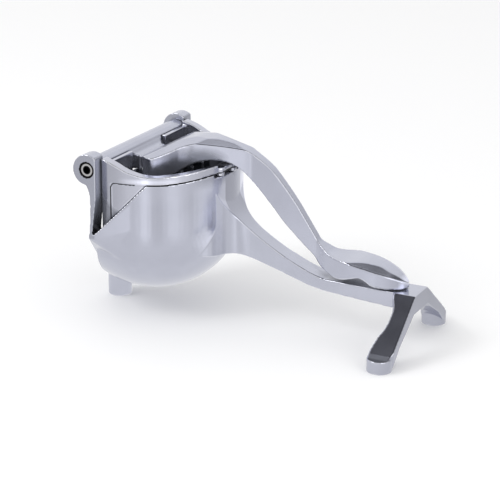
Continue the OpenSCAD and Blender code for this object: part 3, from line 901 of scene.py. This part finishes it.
# Painted shade in the step round the set-back panel
def paint_panel_step_shade(mesh):
    x, y, z = points_of(mesh).T
    inward = x - PANEL_X
    down = PANEL_TOP - z
    corner = np.abs(np.hypot(inward - PANEL_CORNER, down - PANEL_CORNER) - PANEL_CORNER)
    straight = np.where(down >= PANEL_CORNER, np.abs(inward), np.abs(down))
    gap = np.where((inward < PANEL_CORNER) & (down < PANEL_CORNER), corner, straight)
    on_side = (np.abs(y) > SIDE_Y) & between(inward, -MM, PANEL_LENGTH) & (down > -MM)
    return paint_shade(mesh, np.where(on_side & (gap < PANEL_SHADE_WIDTH), 0.0, 1.0))


print("points on the panel's line:", paint_panel_step_shade(cup_casting.data))
print("points in the seam:", paint_gap_shadow(cup_casting.data, below=0.4 * MM, above=0.5 * MM))

# %% [markdown]
# On the lever, the flank over the cup mirrors the dark inside of the cup, painted as a long oval patch of
# dark reflection. The very end of the grip gets a painted highlight.

# %% Shade the lever
FLANK_X, FLANK_Z = -33.0 * MM, 106.5 * MM
FLANK_HALF_LENGTH, FLANK_HALF_HEIGHT = 19 * MM, 6.5 * MM
FLANK_FADE = (1.25, 0.25)
FLANK_Y = 4 * MM
FLANK_SHADE = 0.5


def shade_flank(mesh):
    x, y, z = points_of(mesh).T
    from_middle = np.hypot((x - FLANK_X) / FLANK_HALF_LENGTH, (z - FLANK_Z) / FLANK_HALF_HEIGHT)
    return paint_shade(mesh, 1 - FLANK_SHADE * slope(from_middle, *FLANK_FADE) * (np.abs(y) > FLANK_Y))


TIP_X = (96.5 * MM, 99.5 * MM)
TIP_HIGHLIGHT = 0.8


# Painted highlight on the very end of the grip
def paint_tip_highlight(mesh):
    return paint_light(mesh, slope(points_of(mesh)[:, 0], *TIP_X) * TIP_HIGHLIGHT)


print("points on the flank:", shade_flank(lever_casting.data))
print("points on the tip:", paint_tip_highlight(lever_casting.data))

# %% [markdown]
# ## The pivot screws
#
# The screws are bought parts, turned from stainless steel. They keep the frame's solids, with a fine chamfer
# from the Bevel modifier, and a turned finish: rings round the screw's own axis in the roughness. Both
# screws lie on one axis, so one material serves them, with its rings centred there. The deep hexagon socket
# is painted black as shade, and so is the shadow round the head's rim.

# %% Turned steel
STEEL_RINGS = {"Scale": 900.0, "Distortion": 0.4}
STEEL_ROUGHNESS = (0.18, 0.30)
STEEL_TONES = ((0.0, (0.55, 0.54, 0.54)), (1.0, (0.66, 0.65, 0.66)))
# Painted shade: black down in the hexagon socket and a dark ring round the head's rim
SOCKET_SHADE = (0.012, 0.012, 0.014, 1)
# Distances from the axis are shares of 5 mm: the socket ends by 2.9 mm, and the head's rim starts at 3.7 mm
FACE_SCALE = 1 / (5 * MM)
FACE_SHADE_TONES = ((0.52, 0.0), (0.58, 1.0), (0.74, 1.0), (0.80, 0.12))


def turned_steel():
    material, tree, metal = new_material("turned_steel")
    place = new_node(tree, "ShaderNodeTexCoord")
    shift = new_node(tree, "ShaderNodeMapping", {
        "Vector": place.outputs["Object"], "Location": (-AXIS_X, 0, -AXIS_Z)})
    from_axis = shift.outputs["Vector"]
    rings = new_node(tree, "ShaderNodeTexWave", {"Vector": from_axis, **STEEL_RINGS},
                     wave_type="RINGS", rings_direction="Y")
    steel = ramp(tree, STEEL_TONES, rings.outputs["Fac"])
    flat = new_node(tree, "ShaderNodeVectorMath", {0: from_axis, 1: (1, 0, 1)}, operation="MULTIPLY")
    distance = new_node(tree, "ShaderNodeVectorMath", {0: flat.outputs["Vector"]}, operation="LENGTH")
    face = ramp(tree, FACE_SHADE_TONES, maths(tree, "MULTIPLY", distance.outputs["Value"], FACE_SCALE))
    set_inputs(tree, metal, {
        "Base Color": mix(tree, face, SOCKET_SHADE, steel),
        "Metallic": 1.0,
        "Roughness": change_range(tree, rings.outputs["Fac"], (0.0, 1.0), STEEL_ROUGHNESS),
    })
    return material


STEEL = turned_steel()
print("material", STEEL.name)

# %% Finish the screws
CHAMFER = 0.3 * MM
CHAMFER_STEPS = 2
CHAMFERED_FROM = math.radians(50)  # flatter bends than this are left as they are

for name in ("pivot_screw_near", "pivot_screw_far"):
    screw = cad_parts[name]
    screw.data.materials.clear()
    screw.data.materials.append(STEEL)
    chamfer = screw.modifiers.new("chamfer", "BEVEL")
    chamfer.width = CHAMFER
    chamfer.segments = CHAMFER_STEPS
    chamfer.limit_method = "ANGLE"
    chamfer.angle_limit = CHAMFERED_FROM
    print(name, "finished")
